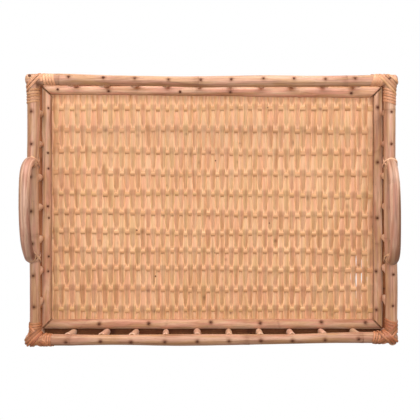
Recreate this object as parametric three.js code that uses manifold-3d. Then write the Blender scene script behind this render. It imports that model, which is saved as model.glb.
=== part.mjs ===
// A rectangular serving tray made of rattan. Two frames of round poles, one on the floor and one
// above it, are joined by a fence of short spindles. A woven mat lies on the lower frame and on
// three cross braces, under mitred half-round beads. Two arched handles stand on the side rails.
//
// Millimetres, +Z up. X runs along the tray, Y across it. The origin is under the middle of the
// tray, on the surface that it stands on.
import * as THREE from "three";
import { mergeVertices } from "three/addons/utils/BufferGeometryUtils.js";
import Module from "manifold-3d";

const wasm = await Module();
wasm.setup();

// ---- driving dimensions -------------------------------------------------------------------
const gap = 0.3; // clearance between pieces that touch
const cutterReach = 5; // how far a cutter stands past the ends of the pole that it follows
const sides = 16; // facets of a thick round pole
const thinSides = 10; // facets of a spindle

const railX = 217.7; // centre lines of the top rails
const railY = 157.7;
const longRailRadius = 6.6;
const shortRailRadius = 7.1;
const railHeight = 59; // of the top rails' centre lines
const railOverhang = 1.5; // a long rail's ends stand past the side rails

const poleRadius = 7.8; // base poles
const poleX = 219; // centre lines of the base poles
const poleY = 159;
const poleLevel = poleRadius * Math.cos(Math.PI / sides); // a facet lies on the floor

const braceRadius = 5.3;
const bracePositions = { left: -74, middle: 3, right: 73 };

const spindleRadius = 4.6;
const spindleX = 222.3; // where the spindles on the short sides are centred on the base poles
const spindleY = 160.3; // and those on the long sides
const spindleLean = 6; // how far a spindle's head lies nearer to the mat than its foot
const footRadius = 2.6; // the foot is whittled thinner
const footTaper = 14;
const longSideSpindles = 10;
const shortSideSpindles = 7;
const postX = 220.5; // of the four corner posts
const postY = 160.3;
const postRadius = 5;

const matX = 217.7; // half lengths of the woven mat
const matY = 155.3;
const matThickness = 1.8;

const beadWidth = 12.2;
const beadHeight = 6;

const handleRadius = 6.5;
const handleFoot = 58; // from the tray's middle to the centre line of a leg
const handleRise = 38; // of the handle's centre line above the rail's
const handleLeans = { left: 1, right: 3 }; // how far each arch leans towards the mat
// The shoulders of a bent handle: its centre line across the tray, counted from a leg towards
// the middle, and above the rail's. A steep one stands up before it bends, a slack one slopes.
const steepShoulder = [[0, 0], [-0.4, 12], [1, 21], [6, 30], [15, 35.5], [30, handleRise]];
const slackShoulder = [[0, 0], [1, 8], [6, 17], [15, 25.5], [25, 31], [40, 35.5], [58, handleRise]];
const handleShoulders = {
  left: { back: steepShoulder, front: slackShoulder },
  right: { back: slackShoulder, front: steepShoulder },
};
const handleSteps = 26;
const handleFacets = 14;

const bindingRadius = 9.5; // of the peel strands wound round a corner
const bindingAlongLong = 30; // reach of the winding from the corner along each rail
const bindingAlongShort = 34;

// ---- values that follow from them ---------------------------------------------------------
const poleTop = poleLevel + poleRadius;
const matLevel = poleTop + gap; // underside of the mat
const beadLevel = matLevel + matThickness + gap; // underside of the beads
const braceLevel = poleTop - braceRadius;

// ---- materials ----------------------------------------------------------------------------
const finish = (color, roughness) =>
  new THREE.MeshStandardMaterial({ color, roughness, metalness: 0 });
const materials = {
  rail: finish(0xd2a788, 0.45),
  base: finish(0xb5835c, 0.55),
  bead: finish(0xcd9a76, 0.45),
  spindle: finish(0xd6a883, 0.5),
  mat: finish(0xdfa878, 0.6),
  peel: finish(0xcf9668, 0.5),
};

// ---- solids -------------------------------------------------------------------------------
// A closed three.js geometry as a solid that can be cut and joined.
function solidOf(geometry) {
  const bare = geometry.clone();
  bare.deleteAttribute("normal");
  bare.deleteAttribute("uv");
  const merged = mergeVertices(bare, 1e-4);
  return new wasm.Manifold(
    new wasm.Mesh({
      numProp: 3,
      vertProperties: new Float32Array(merged.attributes.position.array),
      triVerts: new Uint32Array(merged.index.array),
    })
  );
}

// A solid as a three.js geometry.
function geometryOf(solid) {
  const { vertProperties, triVerts } = solid.getMesh();
  const geometry = new THREE.BufferGeometry();
  geometry.setAttribute("position", new THREE.BufferAttribute(new Float32Array(vertProperties), 3));
  geometry.setIndex(new THREE.BufferAttribute(new Uint32Array(triVerts), 1));
  geometry.computeVertexNormals();
  return geometry;
}

// A round pole between two points. Its facets are turned so that one faces straight down
// on a pole that lies along X or Y.
function pole(from, to, radius, facets = sides) {
  const start = new THREE.Vector3(...from);
  const end = new THREE.Vector3(...to);
  const along = end.clone().sub(start);
  const halfFacet = Math.PI / facets;
  const geometry = new THREE.CylinderGeometry(
    radius, radius, along.length(), facets, 1, false, halfFacet
  );
  if (Math.abs(along.z) > Math.abs(along.x) + Math.abs(along.y)) geometry.rotateX(Math.PI / 2);
  else if (Math.abs(along.x) > Math.abs(along.y)) geometry.rotateZ(Math.PI / 2);
  const middle = start.add(end).multiplyScalar(0.5);
  return solidOf(geometry.translate(middle.x, middle.y, middle.z));
}

const cut = (solid, ...cutters) => cutters.reduce((left, cutter) => left.subtract(cutter), solid);

// Both frames are two long poles with two short poles fitted between them. grow makes the
// cutters that leave a clearance round them.
function frame(x, y, level, longRadius, shortRadius, overhang, grow = 0) {
  const reach = x + shortRadius + overhang + grow;
  const long = (side) =>
    pole([-reach, side * y, level], [reach, side * y, level], longRadius + grow);
  const short = (side) =>
    pole([side * x, -y, level], [side * x, y, level], shortRadius + grow);
  return { back: long(1), front: long(-1), left: short(-1), right: short(1) };
}

const railFrame = (overhang, grow) =>
  frame(railX, railY, railHeight, longRailRadius, shortRailRadius, overhang, grow);
const rails = railFrame(railOverhang);
const railCutters = railFrame(railOverhang + cutterReach, gap);
const poles = frame(poleX, poleY, poleLevel, poleRadius, poleRadius, 0);
const poleCutters = frame(poleX, poleY, poleLevel, poleRadius, poleRadius, cutterReach, gap);

// ---- the group and its pieces ---------------------------------------------------------------
const tray = new THREE.Group();

function add(name, geometry, material) {
  const mesh = new THREE.Mesh(geometry, material);
  mesh.name = name;
  tray.add(mesh);
}

function addFrame(suffix, solids, cutters, material) {
  for (const side of ["back", "front"]) {
    add(`${side}_${suffix}`, geometryOf(solids[side]), material);
  }
  for (const side of ["left", "right"]) {
    add(`${side}_${suffix}`, geometryOf(cut(solids[side], cutters.back, cutters.front)), material);
  }
}

addFrame("rail", rails, railCutters, materials.rail);
addFrame("base_pole", poles, poleCutters, materials.base);

// Cross braces under the mat, fitted between the two long base poles.
for (const [place, x] of Object.entries(bracePositions)) {
  const brace = pole([x, -poleY, braceLevel], [x, poleY, braceLevel], braceRadius, 12);
  add(
    `${place}_cross_brace`,
    geometryOf(cut(brace, poleCutters.back, poleCutters.front)),
    materials.base
  );
}

// The mat is a thin plain slab.
add(
  "woven_mat",
  new THREE.BoxGeometry(2 * matX, 2 * matY, matThickness)
    .translate(0, 0, matLevel + matThickness / 2),
  materials.mat
);

// A half-round bead whose flat side lies on the mat. halfLength is measured along its outer
// edge, and both ends are mitred towards the middle of the tray.
function bead(halfLength, outerEdge) {
  const half = halfLength - gap / 2;
  const profile = new THREE.Shape();
  profile.absellipse(beadWidth / 2, 0, beadWidth / 2, beadHeight, 0, Math.PI, false, 0);
  profile.closePath();
  const geometry = new THREE.ExtrudeGeometry(profile, {
    depth: 2, steps: 1, curveSegments: 12, bevelEnabled: false,
  });
  geometry.translate(0, 0, -1);
  const position = geometry.attributes.position;
  for (let i = 0; i < position.count; i++) {
    const inward = position.getX(i);
    const height = position.getY(i);
    const end = position.getZ(i);
    position.setXYZ(i, end * (half - inward), inward - outerEdge, beadLevel + height);
  }
  return solidOf(geometry);
}

for (const [side, turn, halfLength, outerEdge] of [
  ["front", 0, matX, matY],
  ["right", 90, matY, matX],
  ["back", 180, matX, matY],
  ["left", 270, matY, matX],
]) {
  add(`${side}_bead`, geometryOf(bead(halfLength, outerEdge).rotate([0, 0, turn])), materials.bead);
}

// A spindle leans towards the mat as it rises, and its foot is whittled thinner. Both ends are
// fitted to the poles. inwardX and inwardY point towards the mat.
function spindle(x, y, inwardX, inwardY, ...fittedTo) {
  const rise = railHeight - poleLevel;
  const footTop = poleTop - poleLevel + footTaper;
  const profile = [
    [0, 0], [footRadius, 0], [footRadius, poleTop - poleLevel], [spindleRadius, footTop],
    [spindleRadius, rise], [0, rise],
  ].map(([radius, height]) => new THREE.Vector2(radius, height));
  const geometry = new THREE.LatheGeometry(profile, thinSides).rotateX(Math.PI / 2);
  const position = geometry.attributes.position;
  for (let i = 0; i < position.count; i++) {
    const height = position.getZ(i);
    const lean = (spindleLean * height) / rise;
    position.setXYZ(
      i,
      x + position.getX(i) + inwardX * lean,
      y + position.getY(i) + inwardY * lean,
      poleLevel + height
    );
  }
  return geometryOf(cut(solidOf(geometry), ...fittedTo));
}

const between = (first, last, count, i) => first + ((last - first) * i) / (count - 1);

const spindleRows = {
  back: { first: -174, last: 179, count: longSideSpindles, at: (s) => [s, spindleY, 0, -1] },
  front: { first: -176.5, last: 179, count: longSideSpindles, at: (s) => [s, -spindleY, 0, 1] },
  left: { first: 119, last: -118, count: shortSideSpindles, at: (s) => [-spindleX, s, 1, 0] },
  right: { first: 120, last: -115, count: shortSideSpindles, at: (s) => [spindleX, s, -1, 0] },
};
for (const [side, row] of Object.entries(spindleRows)) {
  for (let i = 0; i < row.count; i++) {
    const stand = row.at(between(row.first, row.last, row.count, i));
    const number = String(i + 1).padStart(2, "0");
    add(
      `${side}_spindle_${number}`,
      spindle(...stand, poleCutters[side], railCutters[side]),
      materials.spindle
    );
  }
}

// Corner posts stand where the frames' poles meet. The peel wound round each corner covers
// the two rail ends and the head of the post.
const corners = {
  back_left: [-1, 1], back_right: [1, 1], front_left: [-1, -1], front_right: [1, -1],
};
for (const [corner, [sideX, sideY]] of Object.entries(corners)) {
  const [longSide, shortSide] = corner.split("_");
  const fittedTo = [longSide, shortSide].flatMap((side) => [poleCutters[side], railCutters[side]]);
  const standX = sideX * postX;
  const standY = sideY * postY;
  const post = pole([standX, standY, poleLevel], [standX, standY, railHeight], postRadius, thinSides);
  add(`${corner}_post`, geometryOf(cut(post, ...fittedTo)), materials.spindle);

  const x = sideX * railX;
  const y = sideY * railY;
  const outerX = sideX * (railX + shortRailRadius);
  const alongLong = pole(
    [outerX - sideX * bindingAlongLong, y, railHeight], [outerX, y, railHeight], bindingRadius
  );
  const alongShort = pole(
    [x, y - sideY * (bindingAlongShort - longRailRadius), railHeight], [x, y, railHeight],
    bindingRadius
  );
  const postHole = pole(
    [standX, standY, poleTop], [standX, standY, railHeight], postRadius + gap, thinSides
  );
  const winding = cut(
    alongLong.add(alongShort), railCutters[longSide], railCutters[shortSide], postHole
  );
  add(`${corner}_corner_binding`, geometryOf(winding), materials.peel);
}

// A handle is one bent pole: two legs that saddle the side rail, and a grip between its two
// shoulders. It leans a little towards the mat.
function handle(side, { back, front }, lean, cutter) {
  const arch = [
    ...back.map(([inward, z]) => [handleFoot - inward, z]),
    ...front.map(([inward, z]) => [inward - handleFoot, z]).reverse(),
  ];
  const points = arch
    .filter(([y], i) => i === 0 || y !== arch[i - 1][0])
    .map(
      ([y, z]) => new THREE.Vector3(side * (railX - (lean * z) / handleRise), y, railHeight + z)
    );
  const section = new THREE.Shape();
  section.absarc(0, 0, handleRadius, 0, 2 * Math.PI, false);
  const geometry = new THREE.ExtrudeGeometry(section, {
    steps: handleSteps,
    curveSegments: handleFacets,
    bevelEnabled: false,
    extrudePath: new THREE.CatmullRomCurve3(points, false, "centripetal"),
  });
  return geometryOf(cut(solidOf(geometry), cutter));
}

for (const [side, turn] of [["left", -1], ["right", 1]]) {
  add(
    `${side}_handle`,
    handle(turn, handleShoulders[side], handleLeans[side], railCutters[side]),
    materials.rail
  );
}

export default tray;
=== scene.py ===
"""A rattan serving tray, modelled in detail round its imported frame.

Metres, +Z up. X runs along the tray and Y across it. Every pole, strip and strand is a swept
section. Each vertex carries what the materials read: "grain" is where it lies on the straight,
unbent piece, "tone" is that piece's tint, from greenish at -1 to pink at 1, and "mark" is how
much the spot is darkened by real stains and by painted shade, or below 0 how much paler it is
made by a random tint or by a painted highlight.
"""

import math

import bpy
import numpy as np
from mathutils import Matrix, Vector


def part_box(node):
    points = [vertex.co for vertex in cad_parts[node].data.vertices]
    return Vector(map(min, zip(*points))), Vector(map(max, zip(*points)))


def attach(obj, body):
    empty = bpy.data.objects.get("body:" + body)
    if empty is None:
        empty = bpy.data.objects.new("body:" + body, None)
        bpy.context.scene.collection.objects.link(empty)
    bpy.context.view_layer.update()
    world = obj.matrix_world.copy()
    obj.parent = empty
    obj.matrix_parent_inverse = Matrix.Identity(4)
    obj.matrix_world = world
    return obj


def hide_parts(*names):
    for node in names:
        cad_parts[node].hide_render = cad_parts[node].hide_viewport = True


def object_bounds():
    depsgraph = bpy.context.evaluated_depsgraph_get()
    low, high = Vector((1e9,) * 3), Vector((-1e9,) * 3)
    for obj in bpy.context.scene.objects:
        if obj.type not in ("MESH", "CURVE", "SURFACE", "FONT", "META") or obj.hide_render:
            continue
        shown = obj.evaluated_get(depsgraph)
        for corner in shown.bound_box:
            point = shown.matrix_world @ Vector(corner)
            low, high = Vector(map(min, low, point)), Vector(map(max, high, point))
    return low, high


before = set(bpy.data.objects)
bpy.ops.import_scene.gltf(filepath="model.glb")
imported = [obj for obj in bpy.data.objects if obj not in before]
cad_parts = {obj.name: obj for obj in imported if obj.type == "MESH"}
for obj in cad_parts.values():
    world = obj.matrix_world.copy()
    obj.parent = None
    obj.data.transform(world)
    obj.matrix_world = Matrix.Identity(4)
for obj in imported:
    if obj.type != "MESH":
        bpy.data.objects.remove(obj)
cad_box = [list(corner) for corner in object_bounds()]

MM = 0.001
X, Y, UP = np.eye(3)
SIDES = ("back", "front", "left", "right")
OUTWARD = {"back": Y, "front": -Y, "left": -X, "right": X}
CORNERS = {
    "back_left": (-1, 1), "back_right": (1, 1), "front_left": (-1, -1), "front_right": (1, -1),
}


def axes(side):
    """The numbers of the axis that a side runs along and of the one across it."""
    return (0, 1) if side in ("back", "front") else (1, 0)


def box(node):
    low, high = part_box(node)
    return np.array(low), np.array(high)


def middle(node):
    low, high = box(node)
    return (low + high) / 2


# ---- driving dimensions, read from the frame where it holds them ----
RAIL_LEVEL = middle("back_rail")[2]
RAIL_X = middle("right_rail")[0]
RAIL_Y = middle("back_rail")[1]
BASE_LEVEL = middle("back_base_pole")[2]
BASE_X = middle("right_base_pole")[0]
BASE_Y = middle("back_base_pole")[1]
RAIL_OUT = {"back": RAIL_Y, "front": RAIL_Y, "left": RAIL_X, "right": RAIL_X}
BASE_OUT = {"back": BASE_Y, "front": BASE_Y, "left": BASE_X, "right": BASE_X}
BASE_RADIUS = 7.2 * MM
MAT_LOW, MAT_HIGH = box("woven_mat")
BEAD_LOW, BEAD_HIGH = box("front_bead")
BEAD_WIDTH = BEAD_HIGH[1] - BEAD_LOW[1]
BEAD_HEIGHT = BEAD_HIGH[2] - BEAD_LOW[2]

# The natural shape of each top rail: (place along it, shift outward, radius), all in mm.
RAIL_SHAPES = {
    "back": [
        (-226, 1.3, 6.8), (-179, 1.7, 6.8), (-130, 0.6, 6.2), (-90, 0, 6.0), (-30, -1.2, 6.5),
        (60, -0.5, 7.0), (130, -0.7, 6.7), (226, 0.6, 6.8),
    ],
    "front": [
        (-226, 0.5, 6.9), (-179, 0.7, 6.8), (-118, 0.6, 6.0), (-40, 0.8, 7.0), (40, 0.2, 6.3),
        (95, -0.4, 5.8), (150, -1.9, 6.2), (226, -2.4, 7.0),
    ],
    "left": [
        (-157, -2.4, 6.4), (-110, -2.5, 6.2), (-66, -2.3, 6.3), (0, 0.3, 7.0), (60, 0.2, 7.0),
        (90, -0.6, 7.5), (157, -0.3, 7.4),
    ],
    "right": [
        (-157, 1.2, 7.1), (-70, 1.4, 7.3), (-40, 0.4, 7.2), (0, -0.5, 7.1), (60, -0.6, 7.1),
        (157, -0.6, 7.1),
    ],
}


# ---- small helpers ----
def lerp(a, b, t):
    return a + (b - a) * t


def unit(v):
    return v / np.linalg.norm(v, axis=-1, keepdims=True)


def linear(red, green, blue):
    """A colour given as 0 to 255 on screen, as Blender's linear values."""
    return tuple(((c / 255 + 0.055) / 1.055) ** 2.4 for c in (red, green, blue)) + (1.0,)


def ripple(t, random, waves=4, slowest=0.8):
    """A smooth random curve over t from 0 to 1, that stays between about -1 and 1."""
    total = np.zeros_like(t, dtype=float)
    for k in range(waves):
        phase, pitch = random.uniform(0, 2 * math.pi), slowest * (k + 1) * random.uniform(0.8, 1.2)
        total += np.sin(2 * math.pi * pitch * t + phase) / (k + 1)
    return total / 1.6


def bell(distance, width):
    return np.exp(-((distance / width) ** 2))


def distance(a, b):
    return np.linalg.norm(a - b, axis=-1)


def lengths_along(path):
    return np.concatenate([[0], np.cumsum(distance(path[1:], path[:-1]))])


def turn_in(count):
    """Angles evenly round a full turn."""
    return np.linspace(0, 2 * math.pi, count, endpoint=False)


def eased(places, values, at):
    """A smooth curve through values at places, read at at."""
    at = np.clip(at, places[0], places[-1])
    slopes = np.gradient(values, places)
    k = np.clip(np.searchsorted(places, at) - 1, 0, len(places) - 2)
    step = places[k + 1] - places[k]
    t = (at - places[k]) / step
    swing = t * (1 - t) * ((1 - t) * slopes[k] - t * slopes[k + 1]) * step
    return lerp(values[k], values[k + 1], t * t * (3 - 2 * t)) + swing


def frames(path, up=UP):
    """Side and up vectors along a path, with side x up = tangent."""
    tangent = unit(np.gradient(path, axis=0))
    ups = np.empty_like(path)
    last = np.array(up, float)
    for i, t in enumerate(tangent):
        last = unit(last - np.dot(last, t) * t)
        ups[i] = last
    return np.cross(ups, tangent), ups


def rail_shape(side, place):
    """Outward shift and radius of a top rail at place along it."""
    at, shift, radius = np.array(RAIL_SHAPES[side]).T * MM
    return eased(at, shift, place), eased(at, radius, place)


def rail_point(side, place):
    """The point on a top rail's centre line at place along it."""
    place = np.asarray(place, float)
    out = RAIL_OUT[side] + rail_shape(side, place)[0]
    along = (X, Y)[axes(side)[0]]
    return place[..., None] * along + out[..., None] * OUTWARD[side] + RAIL_LEVEL * UP


def grain_at(along, across, above):
    """Where each point of the rings lies on the straight piece."""
    return np.stack(np.broadcast_arrays(along[:, None], across, above), -1)


def add_object(name, data):
    made = bpy.data.objects.new(name, data)
    bpy.context.scene.collection.objects.link(made)
    return made


class Build:
    """Collects swept rings into one mesh."""

    def __init__(self):
        self.vertices, self.faces, self.slots = [], [], []
        self.grain, self.tone, self.mark = [], [], []
        self.count = 0

    def sweep(self, rings, grain, tone=0.0, mark=0.0, loop=False):
        """Joins rings, an array of [ring, point, xyz], and closes both ends unless it is a loop."""
        rows, columns, _ = rings.shape
        row = np.arange(rows if loop else rows - 1)[:, None]
        column = np.arange(columns)[None, :]
        beside = (column + 1) % columns
        ahead = (row + 1) % rows
        corners = ((row, column), (row, beside), (ahead, beside), (ahead, column))
        quads = np.stack([r * columns + c for r, c in corners], -1).reshape(-1, 4)
        points, places = [rings.reshape(-1, 3)], [grain.reshape(-1, 3)]
        marks = [np.broadcast_to(mark, (rows, columns)).reshape(-1)]
        self.faces += (quads + self.count).tolist()
        self.slots += [0] * len(quads)
        if not loop:
            for end, turn in ((0, -1), (rows - 1, 1)):
                centre = self.count + rows * columns + (end > 0)
                ring = self.count + end * columns + np.arange(columns)[::turn]
                self.faces += [[centre, int(a), int(b)] for a, b in zip(ring, np.roll(ring, -1))]
                self.slots += [1] * columns
                points.append(rings[end].mean(0)[None])
                places.append(grain[end].mean(0)[None])
                marks.append(np.broadcast_to(mark, (rows, columns))[end].mean()[None])
        made = np.concatenate(points)
        self.vertices.append(made)
        self.grain.append(np.concatenate(places))
        self.mark.append(np.concatenate(marks))
        self.tone.append(np.full(len(made), tone))
        self.count += len(made)

    def piece(self, name, materials, replaces=(), sharp=50):
        """Makes the Blender object, puts it on the tray's body and gives it its finish.

        materials are the sides' and the cut ends', and sharp is the least angle of a crease."""
        mesh = bpy.data.meshes.new(name)
        vertices = np.clip(np.concatenate(self.vertices), *cad_box)
        mesh.from_pydata(vertices.tolist(), [], self.faces)
        for key, kind, field, values in (
            ("grain", "FLOAT_VECTOR", "vector", self.grain),
            ("tone", "FLOAT", "value", self.tone),
            ("mark", "FLOAT", "value", self.mark),
        ):
            attribute = mesh.attributes.new(key, kind, "POINT")
            attribute.data.foreach_set(field, np.concatenate(values).astype(np.float32).ravel())
        for material in materials:
            mesh.materials.append(material)
        last = len(materials) - 1
        mesh.polygons.foreach_set("material_index", [min(s, last) for s in self.slots])
        mesh.polygons.foreach_set("use_smooth", [True] * len(self.faces))
        mesh.update()
        mesh.set_sharp_from_angle(angle=math.radians(sharp))
        made = add_object(name, mesh)
        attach(made, "root")
        if replaces:
            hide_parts(*replaces)


# ---- materials ----
class Graph:
    """A node tree, with one short call for each kind of node."""

    def __init__(self, owner):
        owner.use_nodes = True
        self.owner, self.tree = owner, owner.node_tree

    def put(self, socket, value):
        """Links a socket, or sets the number or colour on it."""
        if isinstance(value, bpy.types.NodeSocket):
            self.tree.links.new(value, socket)
        elif value is not None:
            socket.default_value = value

    def node(self, kind, values, **settings):
        """A new node with its settings, and its inputs linked or set by name or number."""
        made = self.tree.nodes.new(f"ShaderNode{kind}")
        for name, value in settings.items():
            setattr(made, name, value)
        for name, value in values.items():
            self.put(made.inputs[name], value)
        return made

    def finish(self, **values):
        """Sets the shader's own inputs, and returns the material."""
        for name, value in values.items():
            self.put(self.tree.nodes["Principled BSDF"].inputs[name.replace("_", " ")], value)
        return self.owner

    def attribute(self, name, output="Fac"):
        return self.node("Attribute", {}, attribute_name=name).outputs[output]

    def noise(self, vector, scale, detail=3.0, roughness=0.5):
        """Noise of vector, in metres, with scale as cells per metre each way."""
        scaled = self.node("VectorMath", {0: vector, 1: scale}, operation="MULTIPLY")
        values = {"Scale": 1.0, "Detail": detail, "Roughness": roughness}
        return self.node("TexNoise", {"Vector": scaled.outputs[0], **values}).outputs["Fac"]

    def spread(self, value, low, high, to_low=0.0, to_high=1.0, kind="SMOOTHSTEP"):
        ends = {"From Min": low, "From Max": high, "To Min": to_low, "To Max": to_high}
        made = self.node("MapRange", {"Value": value, **ends}, interpolation_type=kind)
        return made.outputs["Result"]

    def math(self, operation, a, b):
        return self.node("Math", {0: a, 1: b}, operation=operation).outputs[0]

    def mix(self, share, a, b):
        made = self.node("Mix", {"Factor": share}, data_type="RGBA")
        for socket, colour in zip([s for s in made.inputs if s.type == "RGBA"], (a, b)):
            self.put(socket, colour)
        return next(s for s in made.outputs if s.type == "RGBA")

    def bump(self, *layers):
        """layers are (height, distance in metres), each laid over the one before."""
        normal = None
        for height, distance in layers:
            values = {"Height": height, "Strength": 1.0, "Distance": distance, "Normal": normal}
            normal = self.node("Bump", values).outputs["Normal"]
        return normal


SKIN_DEPTH = 0.77  # cane is this much darker than given, because the lights brighten it
# The dark brown that both real stains and painted shade mix in.
STAIN_AND_SHADE_BROWN = linear(84, 42, 20)


def shaded(colour, factor):
    """A linear colour made darker, or paler for a factor above 1."""
    return tuple(min(1.0, c * factor) for c in colour[:3]) + (1.0,)


def cane(name, *colours, streak=0.4, fleck=0.6, smooth=0.42, coat=0.06, fine=1.0, patchy=1.0):
    """The skin of rattan: long streaks, slow patches, small brown flecks, stains, painted shade and
    highlights.

    colours are its pale, deep, pink and greenish ones, from 0 to 255 on screen."""
    # The pale colour, not darkened, that painted highlights and paler strands mix in.
    pale_and_highlight = linear(*colours[0])
    pale, deep, pink, green = (shaded(linear(*c), SKIN_DEPTH) for c in colours)
    g = Graph(bpy.data.materials.new(name))
    grain = g.attribute("grain", "Vector")
    tone, mark = g.attribute("tone"), g.attribute("mark")
    patch = g.noise(grain, (14, 130, 130), 3)
    hue = g.noise(grain, (23, 190, 190), 2)
    broad = g.noise(grain, (9, 420 * fine, 420 * fine), 4, 0.6)
    thin = g.noise(grain, (26, 1700 * fine, 1700 * fine), 5, 0.65)
    spots = g.noise(grain, (260, 700, 700), 3, 0.6)
    dark, light = shaded(deep, 0.55), shaded(pale, 1.22)
    colour = g.mix(g.spread(patch, 0.38, 0.62), deep, pale)
    tint = g.math("ADD", tone, g.spread(hue, 0.38, 0.62, -0.5 * patchy, 0.5 * patchy))
    colour = g.mix(g.spread(tint, 0.0, 1.2, 0.0, 0.8), colour, pink)
    colour = g.mix(g.spread(tint, 0.0, -1.2, 0.0, 0.8), colour, green)
    colour = g.mix(g.spread(broad, 0.53, 0.7, 0.0, streak), colour, dark)
    colour = g.mix(g.spread(broad, 0.46, 0.32, 0.0, streak), colour, light)
    colour = g.mix(g.spread(thin, 0.52, 0.72, 0.0, streak), colour, dark)
    colour = g.mix(g.spread(spots, 0.64, 0.73, 0.0, fleck), colour, dark)
    # Painted highlights and paler strands, where mark is below 0, mix in that pale colour; stains and
    # painted shade, above 0, blot in the brown.
    colour = g.mix(g.spread(mark, 0.0, -1.0), colour, pale_and_highlight)
    stain_and_shade = g.math("MULTIPLY", g.math("MAXIMUM", mark, 0.0), g.spread(spots, 0.2, 0.6, 0.7, 1.0))
    colour = g.mix(stain_and_shade, colour, STAIN_AND_SHADE_BROWN)
    rough = g.math("ADD", g.spread(thin, 0.3, 0.7, smooth - 0.06, smooth + 0.1), stain_and_shade)
    relief = g.bump((thin, 0.12 * MM), (broad, 0.25 * MM), (mark, -0.25 * MM))
    return g.finish(
        Base_Color=colour, Roughness=rough, Coat_Weight=coat, Coat_Roughness=0.3, Normal=relief
    )


def cut_cane():
    """The sawn end of a pole: pale pith with rows of dark pores."""
    g = Graph(bpy.data.materials.new("cut_cane"))
    grain = g.attribute("grain", "Vector")
    pores = g.noise(grain, (900, 1500, 1500), 2)
    rings = g.noise(grain, (60, 240, 240), 2)
    colour = g.mix(g.spread(rings, 0.3, 0.7), linear(182, 134, 96), linear(206, 164, 124))
    colour = g.mix(g.spread(pores, 0.56, 0.68, 0.0, 0.75), colour, linear(104, 66, 38))
    return g.finish(Base_Color=colour, Roughness=0.85, Normal=g.bump((pores, -0.3 * MM)))


def nail_iron():
    """Small brown nail heads with a worn rim."""
    g = Graph(bpy.data.materials.new("nail_iron"))
    grain = g.attribute("grain", "Vector")
    pale_and_highlight = g.noise(grain, (1400, 1400, 1400), 3)
    colour = g.mix(g.spread(pale_and_highlight, 0.35, 0.75), linear(78, 34, 12), linear(110, 62, 34))
    rough, relief = g.spread(pale_and_highlight, 0.3, 0.7, 0.45, 0.7), g.bump((pale_and_highlight, 0.08 * MM))
    return g.finish(Base_Color=colour, Roughness=rough, Metallic=0.2, Normal=relief)


RAIL_SKIN = cane(
    "rail_skin", (222, 174, 142), (178, 124, 90), (218, 152, 126), (206, 154, 106),
    streak=0.6, patchy=1.6,
)
HANDLE_SKIN = cane(
    "handle_skin", (236, 190, 164), (166, 114, 86), (200, 138, 114), (186, 140, 98),
    streak=0.55, patchy=1.6,
)
# The base poles' cane: a darker, more orange copy of the rails', painted so for the shade and warm
# bounced light it lies in.
SHADED_BASE_SKIN = cane(
    "shaded_base_skin", (222, 146, 92), (176, 100, 54), (206, 124, 78), (200, 136, 82), coat=0.0,
)
BEAD_SKIN = cane(
    "bead_skin", (246, 194, 158), (206, 142, 104), (236, 164, 136), (222, 170, 120),
    streak=0.6, patchy=1.6,
)
SPINDLE_SKIN = cane(
    "spindle_skin", (246, 200, 172), (220, 170, 140), (240, 186, 160), (230, 188, 150),
    streak=0.3,
)
PEEL_SKIN = cane(
    "peel_skin", (236, 176, 134), (198, 132, 90), (226, 154, 114), (216, 162, 108),
    streak=0.5, fine=1.6,
)
OLD_PEEL_SKIN = cane(
    "old_peel_skin", (214, 140, 96), (158, 90, 54), (194, 112, 74), (190, 128, 82),
    streak=0.55, fine=1.6,
)
WARP_SKIN = cane(
    "warp_skin", (255, 201, 154), (230, 164, 112), (255, 184, 143), (242, 191, 133),
    streak=0.5, fleck=0.35, smooth=0.5, fine=1.3, patchy=1.6,
)
WEFT_SKIN = cane(
    "weft_skin", (250, 192, 140), (230, 166, 112), (244, 178, 128), (236, 182, 120),
    streak=0.35, fleck=0.3, smooth=0.55, fine=1.5,
)
LEG_PEEL_SKIN = cane(
    "leg_peel_skin", (252, 206, 172), (216, 156, 118), (240, 178, 144), (232, 184, 136),
    streak=0.45, fine=1.6,
)
CUT_CANE = cut_cane()
NAIL_IRON = nail_iron()


# ---- round poles ----
JOINT_SPACING = 170 * MM
JOINT_SWELL = 4 * MM  # how far along a cane it is thicker at a joint
JOINT_LINE, JOINT_LINE_MARK = 0.8 * MM, 0.7
JOINT_SHADE, JOINT_SHADE_MARK = 3.5 * MM, 0.22  # the brown beside a joint
NAIL_RADIUS = 1.45 * MM
NAIL_STAIN, NAIL_STAIN_MARK = 2.9 * MM, 0.75  # how far the stain round a nail reaches
# A nail head from below its rim to its top: (radius, height), for a head of radius 1.
NAIL_PROFILE = [(0.55, -0.7), (0.95, -0.15), (1.0, 0.1), (0.86, 0.3), (0.5, 0.42), (0.16, 0.46)]
# Painted shade in the hollow where the back and left rails meet.
SHADED_HOLLOW = np.array([-RAIL_X + 8 * MM, RAIL_Y - 5 * MM, RAIL_LEVEL + 5 * MM])
SHADED_HOLLOW_SIZE, SHADED_HOLLOW_MARK = 4 * MM, 0.8


def cane_joints(length, random):
    """Where the natural joints of a cane fall along it."""
    places, at = [], random.uniform(0.15, 0.85) * JOINT_SPACING
    while at < length:
        places.append(at)
        at += JOINT_SPACING * random.uniform(0.7, 1.3)
    return places


def samples(length, step, rounding):
    """Places along a piece, closer together where its ends are rounded."""
    ease = rounding * np.array([0.0, 0.05, 0.15, 0.3, 0.5, 0.75])
    inner = np.linspace(rounding, length - rounding, max(2, int((length - 2 * rounding) / step)))
    return np.concatenate([ease, inner, length - ease[::-1]])


def end_rounding(along, length, rounding):
    """How much narrower each ring is where an end is rounded over."""
    from_end = np.clip(np.minimum(along, length - along) / rounding, 0, 1)
    least = 0.8 if rounding < 2 * MM else 0.5
    return least + (1 - least) * np.sqrt(1 - (1 - from_end) ** 2)


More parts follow.
